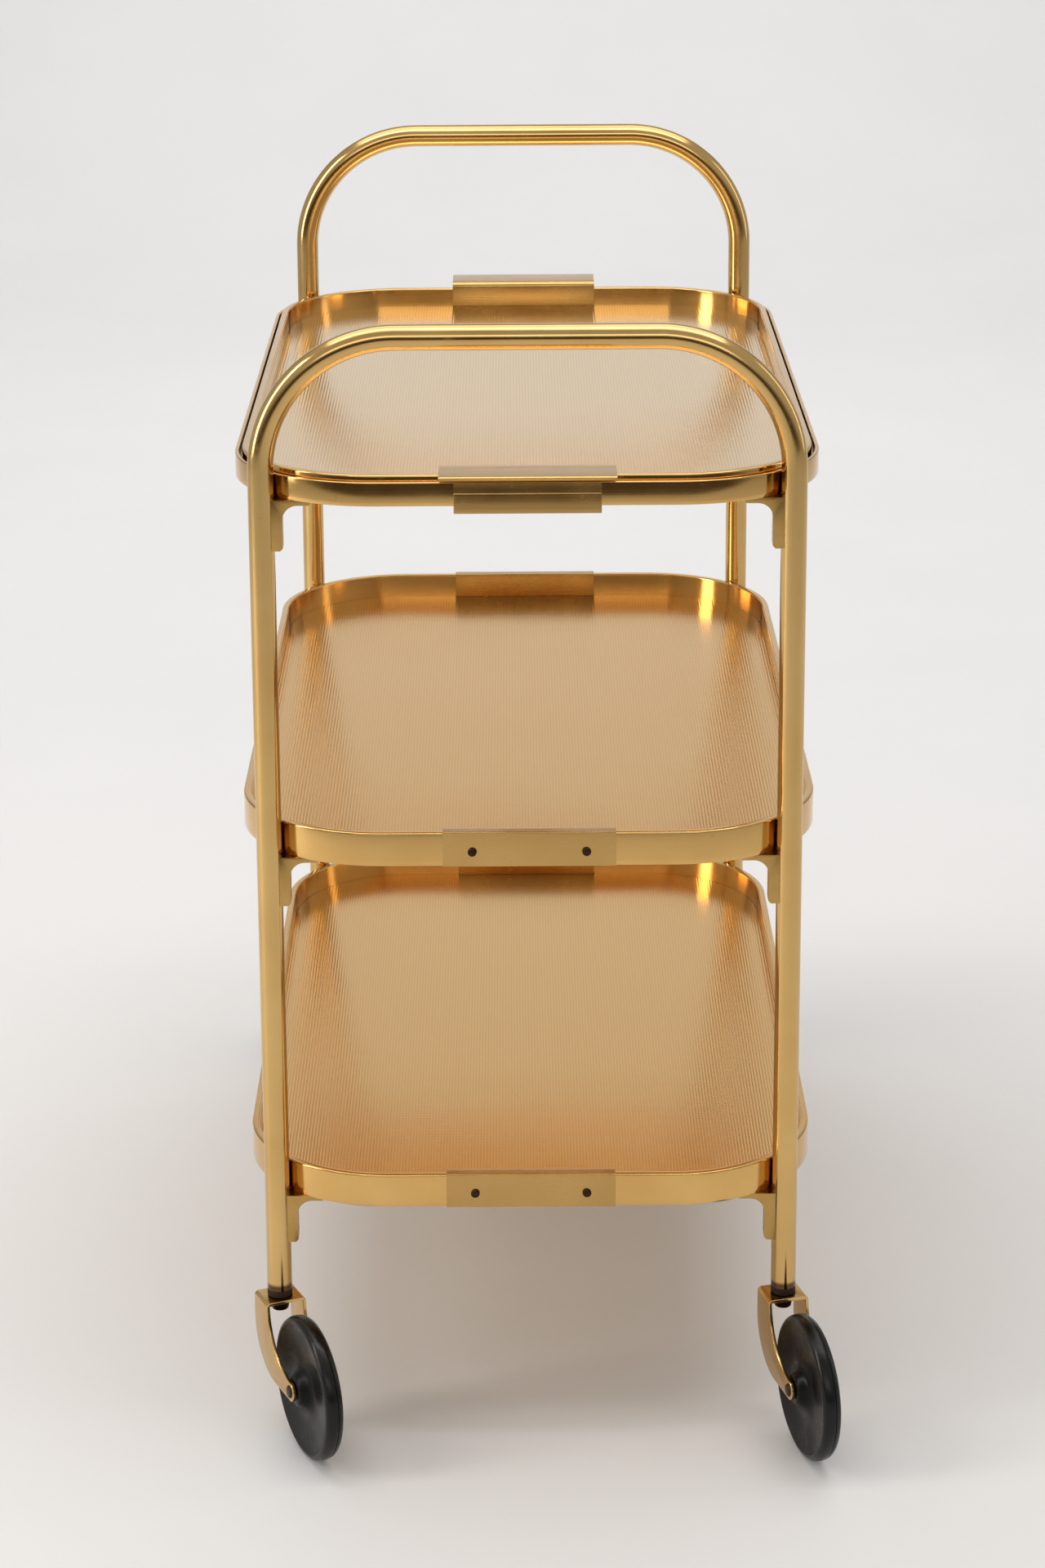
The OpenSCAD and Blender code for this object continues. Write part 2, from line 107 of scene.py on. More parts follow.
def pick(kind, test):
    piece = bpy.context.object
    if piece.mode != "EDIT":
        bpy.ops.object.mode_set(mode="EDIT")
    bpy.ops.mesh.select_mode(type=kind)
    bpy.ops.mesh.select_all(action="DESELECT")
    bpy.ops.object.mode_set(mode="OBJECT")
    data = piece.data
    found = 0
    if kind == "FACE":
        for f in data.polygons:
            f.select = bool(test(f.center, f.normal))
            found += f.select
    elif kind == "EDGE":
        for e in data.edges:
            a, b = (data.vertices[i].co for i in e.vertices)
            e.select = bool(test((a + b) / 2, (b - a).normalized()))
            found += e.select
    else:
        for v in data.vertices:
            v.select = bool(test(v.co, None))
            found += v.select
    bpy.ops.object.mode_set(mode="EDIT")
    return found


def push(x=0.0, y=0.0, z=0.0):
    bpy.ops.mesh.extrude_region_move(TRANSFORM_OT_translate={"value": (x, y, z)})


def move(x=0.0, y=0.0, z=0.0):
    bpy.ops.transform.translate(value=(x, y, z))


def turn(center, axis, degrees, steps):
    bpy.ops.mesh.spin(steps=steps, angle=math.radians(degrees), center=center,
                      axis=(-axis[0], -axis[1], -axis[2]), use_auto_merge=False)


def box_piece(low, high):
    clear()
    size = [b - a for a, b in zip(low, high)]
    bpy.ops.mesh.primitive_cube_add(size=1, location=[(a + b) / 2 for a, b in zip(low, high)])
    bpy.ops.transform.resize(value=size)
    bpy.ops.object.transform_apply(location=True, rotation=True, scale=True)
    return bpy.context.object


def sheet_piece(width, depth, location, upright=None):
    clear()
    bpy.ops.mesh.primitive_plane_add(size=1, location=location)
    bpy.ops.transform.resize(value=(width, depth, 1))
    bpy.ops.object.transform_apply(location=True, rotation=True, scale=True)
    if upright:
        pick("FACE", lambda c, n: True)
        bpy.ops.transform.rotate(value=math.radians(90), orient_axis=upright, center_override=location)
    return bpy.context.object


# %% Closing a piece and giving it a soft edge
def tidy(merge=1e-6):
    if bpy.context.object.mode != "EDIT":
        bpy.ops.object.mode_set(mode="EDIT")
    bpy.ops.mesh.select_all(action="SELECT")
    bpy.ops.mesh.remove_doubles(threshold=merge)
    bpy.ops.mesh.normals_make_consistent(inside=False)
    bpy.ops.object.mode_set(mode="OBJECT")


def soften(piece, width, segments=2, angle=35):
    bevel = piece.modifiers.new("soft_edge", "BEVEL")
    bevel.width, bevel.segments = width, segments
    bevel.limit_method, bevel.angle_limit = "ANGLE", math.radians(angle)
    bevel.harden_normals = False
    bpy.ops.object.modifier_apply(modifier=bevel.name)


def smooth(piece, angle=40):
    clear()
    piece.select_set(True)
    bpy.context.view_layer.objects.active = piece
    bpy.ops.object.shade_smooth_by_angle(angle=math.radians(angle))


def settle(piece, name, body, nodes, material):
    piece.name = name
    piece.data.name = name
    piece.data.materials.clear()
    piece.data.materials.append(material)
    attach(piece, body)
    if nodes:
        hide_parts(*nodes)
    print("made", name, len(piece.data.polygons), "faces")
    return piece


def twin(piece, matrix):
    copy = piece.copy()
    copy.data = piece.data.copy()
    bpy.context.collection.objects.link(copy)
    copy.data.transform(matrix)
    return copy


def joined(pieces):
    clear()
    for p in pieces:
        p.select_set(True)
    bpy.context.view_layer.objects.active = pieces[0]
    if len(pieces) > 1:
        bpy.ops.object.join()
    return bpy.context.object


HALF_TURN = Matrix.Rotation(math.pi, 4, "Z")


# %% [markdown]
# ## Finishes
# A finish starts from what the real surface is. One helper adds a node, sets it and links it, and one
# turns the sRGB hex values of a colour card into the linear numbers Blender works in.

# %% Material helpers
def shade(hexa):
    out = []
    for i in (1, 3, 5):
        c = int(hexa[i:i + 2], 16) / 255
        out.append(c / 12.92 if c <= 0.04045 else ((c + 0.055) / 1.055) ** 2.4)
    return (*out, 1.0)


def add(mat, kind, links=None, values=None, **settings):
    node = mat.node_tree.nodes.new(kind)
    for key, value in settings.items():
        setattr(node, key, value)
    for key, value in (values or {}).items():
        node.inputs[key].default_value = value
    for key, source in (links or {}).items():
        mat.node_tree.links.new(source, node.inputs[key])
    return node


def blank(name):
    mat = bpy.data.materials.new(name)
    mat.use_nodes = True
    mat.node_tree.nodes.clear()
    return mat


def close_up(mat, surface):
    add(mat, "ShaderNodeOutputMaterial", {"Surface": surface.outputs["BSDF"]})
    return mat


# %% [markdown]
# ### Gold anodised drawn aluminium
# Anodising grows a clear, dyed skin over polished aluminium. It shows the metal's own fine drawing
# lines, which run along the tube or strip, so the pattern follows a "straight" attribute that unrolls
# each bent piece: first number along its length, the others across it. The lines are about 0.4 mm wide.
# On top lie faint cloudy patches from handling and a few rubbed scratches.

# %% Gold drawn aluminium
def gold_drawn(name, deep, pale, rough_low, rough_high, straight=True, line_mm=0.4, foot=None):
    mat = blank(name)
    if straight:
        place = add(mat, "ShaderNodeAttribute", attribute_name="straight").outputs["Vector"]
    else:
        place = add(mat, "ShaderNodeTexCoord").outputs["Object"]
    body = add(mat, "ShaderNodeTexCoord").outputs["Object"]
    fine = 1 / (line_mm * MM)
    stretch = add(mat, "ShaderNodeMapping", {"Vector": place}, {"Scale": (7.0, fine, fine)})
    lines = add(mat, "ShaderNodeTexNoise", {"Vector": stretch.outputs["Vector"]},
                {"Scale": 1.0, "Detail": 3.0, "Roughness": 0.6})
    clouds = add(mat, "ShaderNodeTexNoise", {"Vector": body},
                 {"Scale": 16.0, "Detail": 4.0, "Roughness": 0.55})
    rub_map = add(mat, "ShaderNodeMapping", {"Vector": body},
                  {"Scale": (60.0, 420.0, 90.0), "Rotation": (0.3, 0.5, 0.9)})
    rubs = add(mat, "ShaderNodeTexNoise", {"Vector": rub_map.outputs["Vector"]},
               {"Scale": 1.0, "Detail": 2.0})
    rub_mask = add(mat, "ShaderNodeMapRange", {"Value": rubs.outputs["Fac"]},
                   {"From Min": 0.66, "From Max": 0.74, "To Min": 0.0, "To Max": 0.09})
    tint = add(mat, "ShaderNodeMix", {"Factor": clouds.outputs["Fac"]}, data_type="RGBA")
    tint.inputs["A"].default_value = shade(deep)
    tint.inputs["B"].default_value = shade(pale)
    if foot:
        up = add(mat, "ShaderNodeSeparateXYZ", {"Vector": body})
        stain = add(mat, "ShaderNodeMapRange", {"Value": up.outputs["Z"]},
                    {"From Min": foot + 0.0035, "From Max": foot + 0.0060, "To Min": 1.0, "To Max": 0.0})
        tint = add(mat, "ShaderNodeMix",
                   {"Factor": stain.outputs["Result"], "A": tint.outputs["Result"]}, data_type="RGBA")
        tint.inputs["B"].default_value = shade("#5E3F1E")
    soft = add(mat, "ShaderNodeMapRange", {"Value": clouds.outputs["Fac"]},
               {"From Min": 0.3, "From Max": 0.7, "To Min": rough_low, "To Max": rough_high})
    line_r = add(mat, "ShaderNodeMapRange", {"Value": lines.outputs["Fac"]},
                 {"From Min": 0.3, "From Max": 0.7, "To Min": -0.035, "To Max": 0.05})
    lined = add(mat, "ShaderNodeMath",
                {0: soft.outputs["Result"], 1: line_r.outputs["Result"]}, operation="ADD")
    rubbed = add(mat, "ShaderNodeMath",
                 {0: lined.outputs["Value"], 1: rub_mask.outputs["Result"]}, operation="ADD")
    relief = add(mat, "ShaderNodeBump", {"Height": lines.outputs["Fac"]},
                 {"Strength": 0.16, "Distance": 0.06 * MM})
    skin = add(mat, "ShaderNodeBsdfPrincipled",
               {"Base Color": tint.outputs["Result"], "Roughness": rubbed.outputs["Value"],
                "Normal": relief.outputs["Normal"]},
               {"Metallic": 1.0, "Coat Weight": 0.35, "Coat Roughness": 0.05})
    return close_up(mat, skin)


gold_tube = gold_drawn("gold_anodised_drawn_tube", "#C49A58", "#DDBA79", 0.10, 0.18, foot=leg_z)
gold_strip = gold_drawn("gold_anodised_rim_strip", "#CA9A55", "#E4BC75", 0.08, 0.14)
gold_folded = gold_drawn("gold_anodised_folded_sheet", "#B28A4B", "#CDA665", 0.19, 0.29, straight=False)
print("gold finishes ready")

# %% [markdown]
# ### Embossed deck sheet
# The decks are thin sheet rolled with fine ribs along the trolley and a weaker cross weave, then
# anodised a pale satin gold. The ribs are 2.4 mm apart. They spread highlights sideways. The colour is
# darkened in the rib grooves as painted shade. The lower decks get a warmer, more orange colour that is a
# painted reflection of the gold shelf undersides above them.

# %% Embossed deck sheet
def ribbed_sheet(name, deep, pale, rough):
    mat = blank(name)
    place = add(mat, "ShaderNodeTexCoord").outputs["Object"]
    clouds = add(mat, "ShaderNodeTexNoise", {"Vector": place},
                 {"Scale": 5.0, "Detail": 5.0, "Roughness": 0.6})
    grit = add(mat, "ShaderNodeTexNoise", {"Vector": place}, {"Scale": 900.0, "Detail": 2.0})
    ribs = add(mat, "ShaderNodeTexWave", {"Vector": place},
               {"Scale": 0.31416 / 0.0024, "Distortion": 0.0},
               wave_type="BANDS", bands_direction="X", wave_profile="SIN")
    weft = add(mat, "ShaderNodeTexWave", {"Vector": place},
               {"Scale": 0.31416 / 0.0031, "Distortion": 0.0},
               wave_type="BANDS", bands_direction="Y", wave_profile="SIN")
    tint = add(mat, "ShaderNodeMix", {"Factor": clouds.outputs["Fac"]}, data_type="RGBA")
    tint.inputs["A"].default_value = shade(deep)
    tint.inputs["B"].default_value = shade(pale)
    # painted shade: the sheet colour is darkened in the rib grooves
    rib_groove_painted_shade = add(mat, "ShaderNodeMapRange", {"Value": ribs.outputs["Fac"]},
                 {"From Min": 0.0, "From Max": 0.6, "To Min": 0.84, "To Max": 1.0})
    tint_with_painted_groove_shade = add(mat, "ShaderNodeVectorMath", {0: tint.outputs["Result"]}, operation="SCALE")
    mat.node_tree.links.new(rib_groove_painted_shade.outputs["Result"], tint_with_painted_groove_shade.inputs["Scale"])
    soft = add(mat, "ShaderNodeMapRange", {"Value": clouds.outputs["Fac"]},
               {"From Min": 0.3, "From Max": 0.7, "To Min": rough - 0.04, "To Max": rough + 0.05})
    half = add(mat, "ShaderNodeMath", {0: weft.outputs["Fac"]}, {1: 0.22}, operation="MULTIPLY")
    both = add(mat, "ShaderNodeMath", {0: ribs.outputs["Fac"], 1: half.outputs["Value"]}, operation="ADD")
    dust = add(mat, "ShaderNodeMath", {0: grit.outputs["Fac"]}, {1: 0.15}, operation="MULTIPLY")
    full = add(mat, "ShaderNodeMath", {0: both.outputs["Value"], 1: dust.outputs["Value"]}, operation="ADD")
    relief = add(mat, "ShaderNodeBump", {"Height": full.outputs["Value"]},
                 {"Strength": 0.5, "Distance": 0.10 * MM})
    skin = add(mat, "ShaderNodeBsdfPrincipled",
               {"Base Color": tint_with_painted_groove_shade.outputs["Vector"], "Roughness": soft.outputs["Result"],
                "Normal": relief.outputs["Normal"]}, {"Metallic": 1.0})
    return close_up(mat, skin)


deck_top = ribbed_sheet("ribbed_sheet_pale_gold", "#E9CDA1", "#F7DBAF", 0.16)
# painted reflection: the lower decks are warmer and more orange than the top deck, standing in for the gold
# undersides they reflect
deck_low_with_painted_reflection = ribbed_sheet("ribbed_sheet_gold_with_painted_reflection", "#E0B472", "#F0C480", 0.20)
print("deck finishes ready")

# %% [markdown]
# ### Castings, steel, plastic and rubber
# The brackets are die cast and lacquered, so they have a faint orange-peel skin. The forks are pressed
# steel with a bright gold plating. Rivets, axles and pins are bronzed steel. The wheels are black
# moulded plastic with a rubber tyre, greyed by dust where it rolls.

# %% Small part finishes
def plain_metal(name, deep, pale, rough, grain_mm, bump):
    mat = blank(name)
    place = add(mat, "ShaderNodeTexCoord").outputs["Object"]
    skin_noise = add(mat, "ShaderNodeTexNoise", {"Vector": place},
                     {"Scale": 1 / (grain_mm * MM), "Detail": 3.0})
    patches = add(mat, "ShaderNodeTexNoise", {"Vector": place}, {"Scale": 60.0, "Detail": 4.0})
    tint = add(mat, "ShaderNodeMix", {"Factor": patches.outputs["Fac"]}, data_type="RGBA")
    tint.inputs["A"].default_value = shade(deep)
    tint.inputs["B"].default_value = shade(pale)
    soft = add(mat, "ShaderNodeMapRange", {"Value": patches.outputs["Fac"]},
               {"From Min": 0.3, "From Max": 0.7, "To Min": rough - 0.05, "To Max": rough + 0.07})
    relief = add(mat, "ShaderNodeBump", {"Height": skin_noise.outputs["Fac"]},
                 {"Strength": 0.3, "Distance": bump})
    skin = add(mat, "ShaderNodeBsdfPrincipled",
               {"Base Color": tint.outputs["Result"], "Roughness": soft.outputs["Result"],
                "Normal": relief.outputs["Normal"]}, {"Metallic": 1.0})
    return close_up(mat, skin)


def dull_plastic(name, deep, pale, rough, grain_mm, bump, patch=40.0, shine=0.14):
    mat = blank(name)
    place = add(mat, "ShaderNodeTexCoord").outputs["Object"]
    grain = add(mat, "ShaderNodeTexNoise", {"Vector": place}, {"Scale": 1 / (grain_mm * MM), "Detail": 3.0})
    dust = add(mat, "ShaderNodeTexNoise", {"Vector": place},
               {"Scale": patch, "Detail": 5.0, "Roughness": 0.65})
    mask = add(mat, "ShaderNodeMapRange", {"Value": dust.outputs["Fac"]},
               {"From Min": 0.42, "From Max": 0.72, "To Min": 0.0, "To Max": 1.0})
    tint = add(mat, "ShaderNodeMix", {"Factor": mask.outputs["Result"]}, data_type="RGBA")
    tint.inputs["A"].default_value = shade(deep)
    tint.inputs["B"].default_value = shade(pale)
    soft = add(mat, "ShaderNodeMapRange", {"Value": mask.outputs["Result"]},
               {"To Min": rough, "To Max": min(rough + 0.2, 0.9)})
    relief = add(mat, "ShaderNodeBump", {"Height": grain.outputs["Fac"]},
                 {"Strength": 0.35, "Distance": bump})
    skin = add(mat, "ShaderNodeBsdfPrincipled",
               {"Base Color": tint.outputs["Result"], "Roughness": soft.outputs["Result"],
                "Normal": relief.outputs["Normal"]}, {"Specular IOR Level": shine})
    return close_up(mat, skin)


gold_cast = plain_metal("gold_lacquered_casting", "#AC8748", "#C8A266", 0.28, 1.1, 0.00010)
gold_screw = plain_metal("gold_plated_screw", "#8F6C35", "#B08A4C", 0.32, 0.6, 0.00004)
gold_pressed = plain_metal("gold_plated_pressed_steel", "#C2985A", "#DDBB80", 0.18, 0.8, 0.00004)
bronzed = plain_metal("bronzed_steel", "#2A2019", "#4A3A2C", 0.38, 0.5, 0.00005)
plug_plastic = dull_plastic("brown_moulded_plug", "#241812", "#3A2A20", 0.42, 0.5, 0.00004)
wheel_plastic = dull_plastic("black_moulded_wheel", "#070708", "#0E0E0E", 0.27, 0.7, 0.00004)
tyre_rubber = dull_plastic("black_rubber_tyre", "#060606", "#100F0E", 0.24, 0.9, 0.00006,
                           patch=55.0, shine=0.3)
print("small part finishes ready")

# %% [markdown]
# ## The bent tube frames
# Each frame is one tube: up a leg, round a bend, along the bar and down again. It is made the way a
# bender makes it. A circle is pushed along the straight stretches and spun round the bends. A sweep
# along a curve would give the same shape with less control over where the rings of faces fall.

# %% Bend the two frames
def straight_tube(piece, y, bar_z):
    cx, cz = leg_x - bend_r, bar_z - bend_r
    field = piece.data.attributes.new("straight", "FLOAT_VECTOR", "POINT")
    for i, v in enumerate(piece.data.vertices):
        ax, z = abs(v.co.x), v.co.z
        if z <= cz:
            s, out = z - cz, ax - leg_x
        elif ax > cx:
            phi = math.atan2(z - cz, ax - cx)
            s, out = bend_r * phi, math.hypot(ax - cx, z - cz) - bend_r
        else:
            s, out = bend_r * math.pi / 2 + cx - ax, z - bar_z
        field.data[i].vector = (s, out + y, v.co.y)


def bent_frame(name, y, top):
    bar_z = top - tube_r
    clear()
    bpy.ops.mesh.primitive_circle_add(vertices=40, radius=tube_r, fill_type="NGON",
                                      location=(-leg_x, y, leg_z))
    bpy.ops.object.transform_apply(location=True, rotation=True, scale=True)
    pick("FACE", lambda c, n: True)
    rise = bar_z - bend_r - leg_z
    for step in range(8):
        push(z=rise / 8)
    turn((bend_r - leg_x, y, bar_z - bend_r), (0, 1, 0), 90, 28)
    for step in range(4):
        push(x=2 * (leg_x - bend_r) / 4)
    turn((leg_x - bend_r, y, bar_z - bend_r), (0, 1, 0), 90, 28)
    for step in range(8):
        push(z=-rise / 8)
    tidy()
    piece = bpy.context.object
    straight_tube(piece, y, bar_z)
    smooth(piece, 50)
    end = name.split("_")[0]
    parts = [end + tail for tail in ("_left_leg", "_left_bend", "_bar", "_right_bend", "_right_leg")]
    return settle(piece, name, "trolley", parts, gold_tube)


bent_frame("front_tube", -leg_y, front_high.z)
bent_frame("rear_tube", leg_y, rear_high.z)
tube_box = [tuple(round(c, 4) for c in v) for v in bpy.data.objects["front_tube"].bound_box]
print("front tube spans", tube_box[0], tube_box[6], "CAD bar", tuple(front_low), tuple(front_high))

# %% [markdown]
# ## Rims
# A rim is one strip rolled round the shelf. Its section is drawn first as a small upright face: the
# outer wall, rounded along the top, with a foot inside that carries the deck. The face is then pushed
# along each side and spun round each corner until it meets itself.

# %% Draw a rim section and roll it round
def straight_band(piece, length, width, radius):
    cx, cy = width / 2 - radius, length / 2 - radius
    field = piece.data.attributes.new("straight", "FLOAT_VECTOR", "POINT")
    for i, v in enumerate(piece.data.vertices):
        ax, ay = abs(v.co.x), abs(v.co.y)
        if ay > cy and ax <= cx:
            s, d = ax, length / 2 - ay
        elif ay > cy:
            phi = math.atan2(ax - cx, ay - cy)
            s, d = cx + radius * phi, radius - math.hypot(ax - cx, ay - cy)
        else:
            s, d = cx + radius * math.pi / 2 + cy - ay, width / 2 - ax
        field.data[i].vector = (s, d, v.co.z)


def roll_round(length, width, radius, steps=24):
    cx, cy = width / 2 - radius, length / 2 - radius
    push(x=cx)
    turn((cx, cy, 0), (0, 0, -1), 90, steps)
    push(y=-2 * cy)
    turn((cx, -cy, 0), (0, 0, -1), 90, steps)
    push(x=-2 * cx)
    turn((-cx, -cy, 0), (0, 0, -1), 90, steps)
    push(y=2 * cy)
    turn((-cx, cy, 0), (0, 0, -1), 90, steps)
    push(x=cx)
    pick("FACE", lambda c, n: abs(c.x) < 1e-5 and abs(n.x) > 0.9)
    bpy.ops.mesh.delete(type="FACE")
    tidy(merge=1e-5)


def rim(name, body, low_z, high_z, length, width, radius, wall, foot, foot_top, nodes, top_r=1.4 * MM):
    outer = length / 2
    mid = (low_z + high_z) / 2
    piece = sheet_piece(high_z - low_z, wall, (0, outer - wall / 2, mid), upright="Y")
    pick("FACE", lambda c, n: True)
    bpy.ops.mesh.bisect(plane_co=(0, outer, low_z + foot_top), plane_no=(0, 0, 1))
    pick("EDGE", lambda c, d: c.y < outer - wall + 1e-5 and c.z < low_z + foot_top)
    push(y=-foot)
    pick("VERT", lambda c, n: c.z > high_z - 1e-5)
    bpy.ops.mesh.bevel(offset=top_r, segments=4, affect="VERTICES")
    pick("VERT", lambda c, n: c.z < low_z + 1e-5 and c.y > outer - 1e-5)
    bpy.ops.mesh.bevel(offset=0.5 * MM, segments=2, affect="VERTICES")
    pick("FACE", lambda c, n: True)
    roll_round(length, width, radius)
    straight_band(piece, length, width, radius)
    smooth(piece, 35)
    return settle(piece, name, body, nodes, gold_strip)


for tier in ("middle", "lower"):
    low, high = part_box(tier + "_rim")
    rim(tier + "_rim_strip", "trolley", low.z, high.z, 2 * half_l, 2 * half_w, corner_r,
        rim_t, foot_w, foot_h, [tier + "_rim"])
band_low, band_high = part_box("top_band")
rim("top_band_strip", "trolley", band_low.z, band_high.z, 2 * half_l, 2 * half_w, corner_r,
    3 * MM, 10.5 * MM, 3 * MM, ["top_band"], top_r=0.9 * MM)
tray_low, tray_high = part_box("tray_rim")
inset = half_l - tray_high.y
rim("tray_rim_strip", "tray", tray_low.z, tray_high.z, 2 * tray_high.y, 2 * tray_high.x,
    corner_r - inset, rim_t, foot_w, 1.5 * MM, ["tray_rim"])

# %% [markdown]
# ## Rim clips
# A folded clip hides the joint of each rim strip. It starts as a flat cap lying on the rim, cut along
# the rim's two faces. The strips outside and inside the rim are then pulled down to make the leaves,
# and the folds are rounded.

# %% Fold one clip and copy it
def folded_clip():
    low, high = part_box("middle_rear_clip")
    cap = rim_high.z
    piece = box_piece((low.x, low.y, cap), (high.x, high.y, high.z))
    pick("FACE", lambda c, n: True)
    bpy.ops.mesh.bisect(plane_co=(0, half_l, cap), plane_no=(0, 1, 0))
    pick("FACE", lambda c, n: True)
    bpy.ops.mesh.bisect(plane_co=(0, half_l - rim_t, cap), plane_no=(0, 1, 0))
    pick("FACE", lambda c, n: n.z < -0.9 and c.y > half_l)
    push(z=-rim_h)
    pick("FACE", lambda c, n: n.z < -0.9 and c.y < half_l - rim_t)
    push(z=foot_h - rim_h)
    pick("EDGE", lambda c, d: c.z > high.z - 1e-6 and abs(d.x) > 0.9
         and (c.y > high.y - 1e-5 or c.y < low.y + 1e-5))
    bpy.ops.mesh.bevel(offset=0.8 * MM, segments=3, affect="EDGES")
    tidy()
    soften(piece, 0.25 * MM, 2, 50)
    smooth(piece, 40)
    return piece


clip = folded_clip()
for tier in ("middle", "lower"):
    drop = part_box(tier + "_rear_clip")[0].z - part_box("middle_rear_clip")[0].z
    for end, spin in (("rear", Matrix.Identity(4)), ("front", HALF_TURN)):
        piece = twin(clip, spin @ Matrix.Translation((0, 0, drop)))
        settle(piece, f"{tier}_{end}_joint_clip", "trolley", [f"{tier}_{end}_clip"],
               gold_folded)
bpy.data.objects.remove(clip)

# %% [markdown]
# ## Clip rivets
# Each rivet is a short drum whose head is inset and lifted into a low dome.

# %% Dome one rivet and copy it eight times
def domed_rivet(x, y, z, radius, height, sign):
    clear()
    bpy.ops.mesh.primitive_cylinder_add(vertices=28, radius=radius, depth=1.6 * MM, location=(0, 0, 0))
    pick("FACE", lambda c, n: n.z > 0.9)
    for size, lift in ((0.45, 0.45), (0.7, 0.3), (0.8, 0.12)):
        bpy.ops.mesh.inset(thickness=size * MM, depth=0)
        move(z=lift * height)
    tidy()
    piece = bpy.context.object
    smooth(piece, 50)
    piece.data.transform(Matrix.Translation((x, y, z)) @ Matrix.Rotation(-sign * math.pi / 2, 4, "X"))
    return piece


rivet_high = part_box("clip_rivets")[1]
rivet_drop = rim_h * 0.56
rivet_r = rivet_high.z - rim_high.z + rivet_drop
rivet_x = rivet_high.x - rivet_r
heads = []
for tier_z in (rim_high.z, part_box("lower_rim")[1].z):
    for sign in (-1, 1):
        for x in (-rivet_x, rivet_x):
            face = sign * (half_l + clip_t)
            heads.append(domed_rivet(x, face, tier_z - rivet_drop, rivet_r, 1.0 * MM, sign))
settle(joined(heads), "clip_rivet_heads", "trolley", ["clip_rivets"], bronzed)

# %% [markdown]
# ## Tray handles and end plates
# A handle is one strip of sheet: up the inside of the tray rim, over in a tight bend, flat outwards and
# rolled down at the lip. It is made like the tubes, by pushing and spinning a thin face.

# %% Fold the tray handle
def tray_handle():
    low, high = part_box("tray_rear_handle")
    r, lip = 5.0 * MM, 3.0 * MM
    width = high.x - low.x
    piece = sheet_piece(width, handle_t, (0, low.y + handle_t / 2, low.z))
    pick("FACE", lambda c, n: True)
    push(z=high.z - r - low.z)
    turn((0, low.y + r, high.z - r), (1, 0, 0), -90, 10)
    push(y=high.y - lip - low.y - r)
    turn((0, high.y - lip, high.z - lip), (1, 0, 0), -90, 8)
    tidy()
    soften(piece, 0.3 * MM, 2, 50)
    smooth(piece, 40)
    return piece


handle = tray_handle()
for end, spin in (("rear", Matrix.Identity(4)), ("front", HALF_TURN)):
    settle(twin(handle, spin), f"tray_{end}_grip", "tray", [f"tray_{end}_handle"],
           gold_folded)
bpy.data.objects.remove(handle)


# %% Press the end plates under the handles
def end_plate():
    low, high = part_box("top_rear_plate")
    hook_top, hook_low = band_low.z, band_low.z - plate_t
    panel_top = high.z - 7.5 * MM
    piece = box_piece((low.x, half_l, low.z), (high.x, high.y, high.z))
    for z in (hook_top, hook_low, panel_top):
        pick("FACE", lambda c, n: True)
        bpy.ops.mesh.bisect(plane_co=(0, half_l, z), plane_no=(0, 0, 1))
    pick("FACE", lambda c, n: n.y < -0.9 and hook_low < c.z < hook_top)
    push(y=-5 * MM)
    pick("FACE", lambda c, n: n.y > 0.9 and c.z < panel_top)
    bpy.ops.mesh.inset(thickness=0.4 * MM, depth=0)
    move(y=0.35 * MM)
    tidy()
    soften(piece, 0.3 * MM, 2, 30)
    smooth(piece, 40)
    return piece


plate = end_plate()
for end, spin in (("rear", Matrix.Identity(4)), ("front", HALF_TURN)):
    settle(twin(plate, spin), f"top_{end}_joint_plate", "trolley", [f"top_{end}_plate"],
           gold_folded)
bpy.data.objects.remove(plate)

# %% [markdown]
# ## Pieces softened from the CAD
# The brackets, forks, plugs and screws already have the right outline. Only their dead-sharp edges give
# them away, so a copy of each is merged, its flat triangles dissolved, and its edges rounded a little.

# %% Round the edges of CAD copies
def softened(node, name, body, material, width, segments=2, angle=35):
    clear()
    source = frame["nodes"][node]
    piece = bpy.data.objects.new(name, source.data.copy())
    bpy.context.collection.objects.link(piece)
    piece.select_set(True)
    bpy.context.view_layer.objects.active = piece
    bpy.ops.object.mode_set(mode="EDIT")
    bpy.ops.mesh.select_all(action="SELECT")
    bpy.ops.mesh.remove_doubles(threshold=1e-6)
    bpy.ops.mesh.dissolve_limited(angle_limit=math.radians(1.0))
    bpy.ops.object.mode_set(mode="OBJECT")
    if piece.data.has_custom_normals:
        bpy.ops.mesh.customdata_custom_splitnormals_clear()
    soften(piece, width, segments, angle)
    smooth(piece, 40)
    return settle(piece, name, body, [node], material)


for tier in ("top", "middle", "lower"):
    softened(tier + "_brackets", tier + "_corner_castings", "trolley",
             gold_cast, 0.5 * MM, 3)
softened("bracket_screws", "bracket_screw_heads", "trolley", gold_screw, 0.2 * MM)
softened("leg_plugs", "leg_foot_plugs", "trolley", plug_plastic, 0.5 * MM, 3)
softened("swivel_pins", "castor_pins_and_nuts", "trolley", bronzed, 0.3 * MM)
corners = ("front_left", "front_right", "rear_left", "rear_right")
for corner in corners:
    softened(corner + "_fork", corner + "_pressed_fork", corner + "_castor",
             gold_pressed, 0.8 * MM, 4)
    softened(corner + "_axle", corner + "_axle_rivet", corner + "_castor",
             bronzed, 0.4 * MM, 3)

# %% [markdown]
# ## Wheels
# The wheel centre is turned from a disc. Each face is inset ring by ring, and every ring is set to the
# height of the dished web there, up to the swelling hub. The tyre's section is an upright face with
# round shoulders and a moulding groove, spun once round the axle. Both are made lying flat and then
# stood at each castor.

# %% Turn the wheel centre and mould the tyre
wheel_r = (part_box("front_left_tyre")[1].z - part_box("front_left_tyre")[0].z) / 2
core_r, half_wheel = wheel_r - 5 * MM, 7 * MM

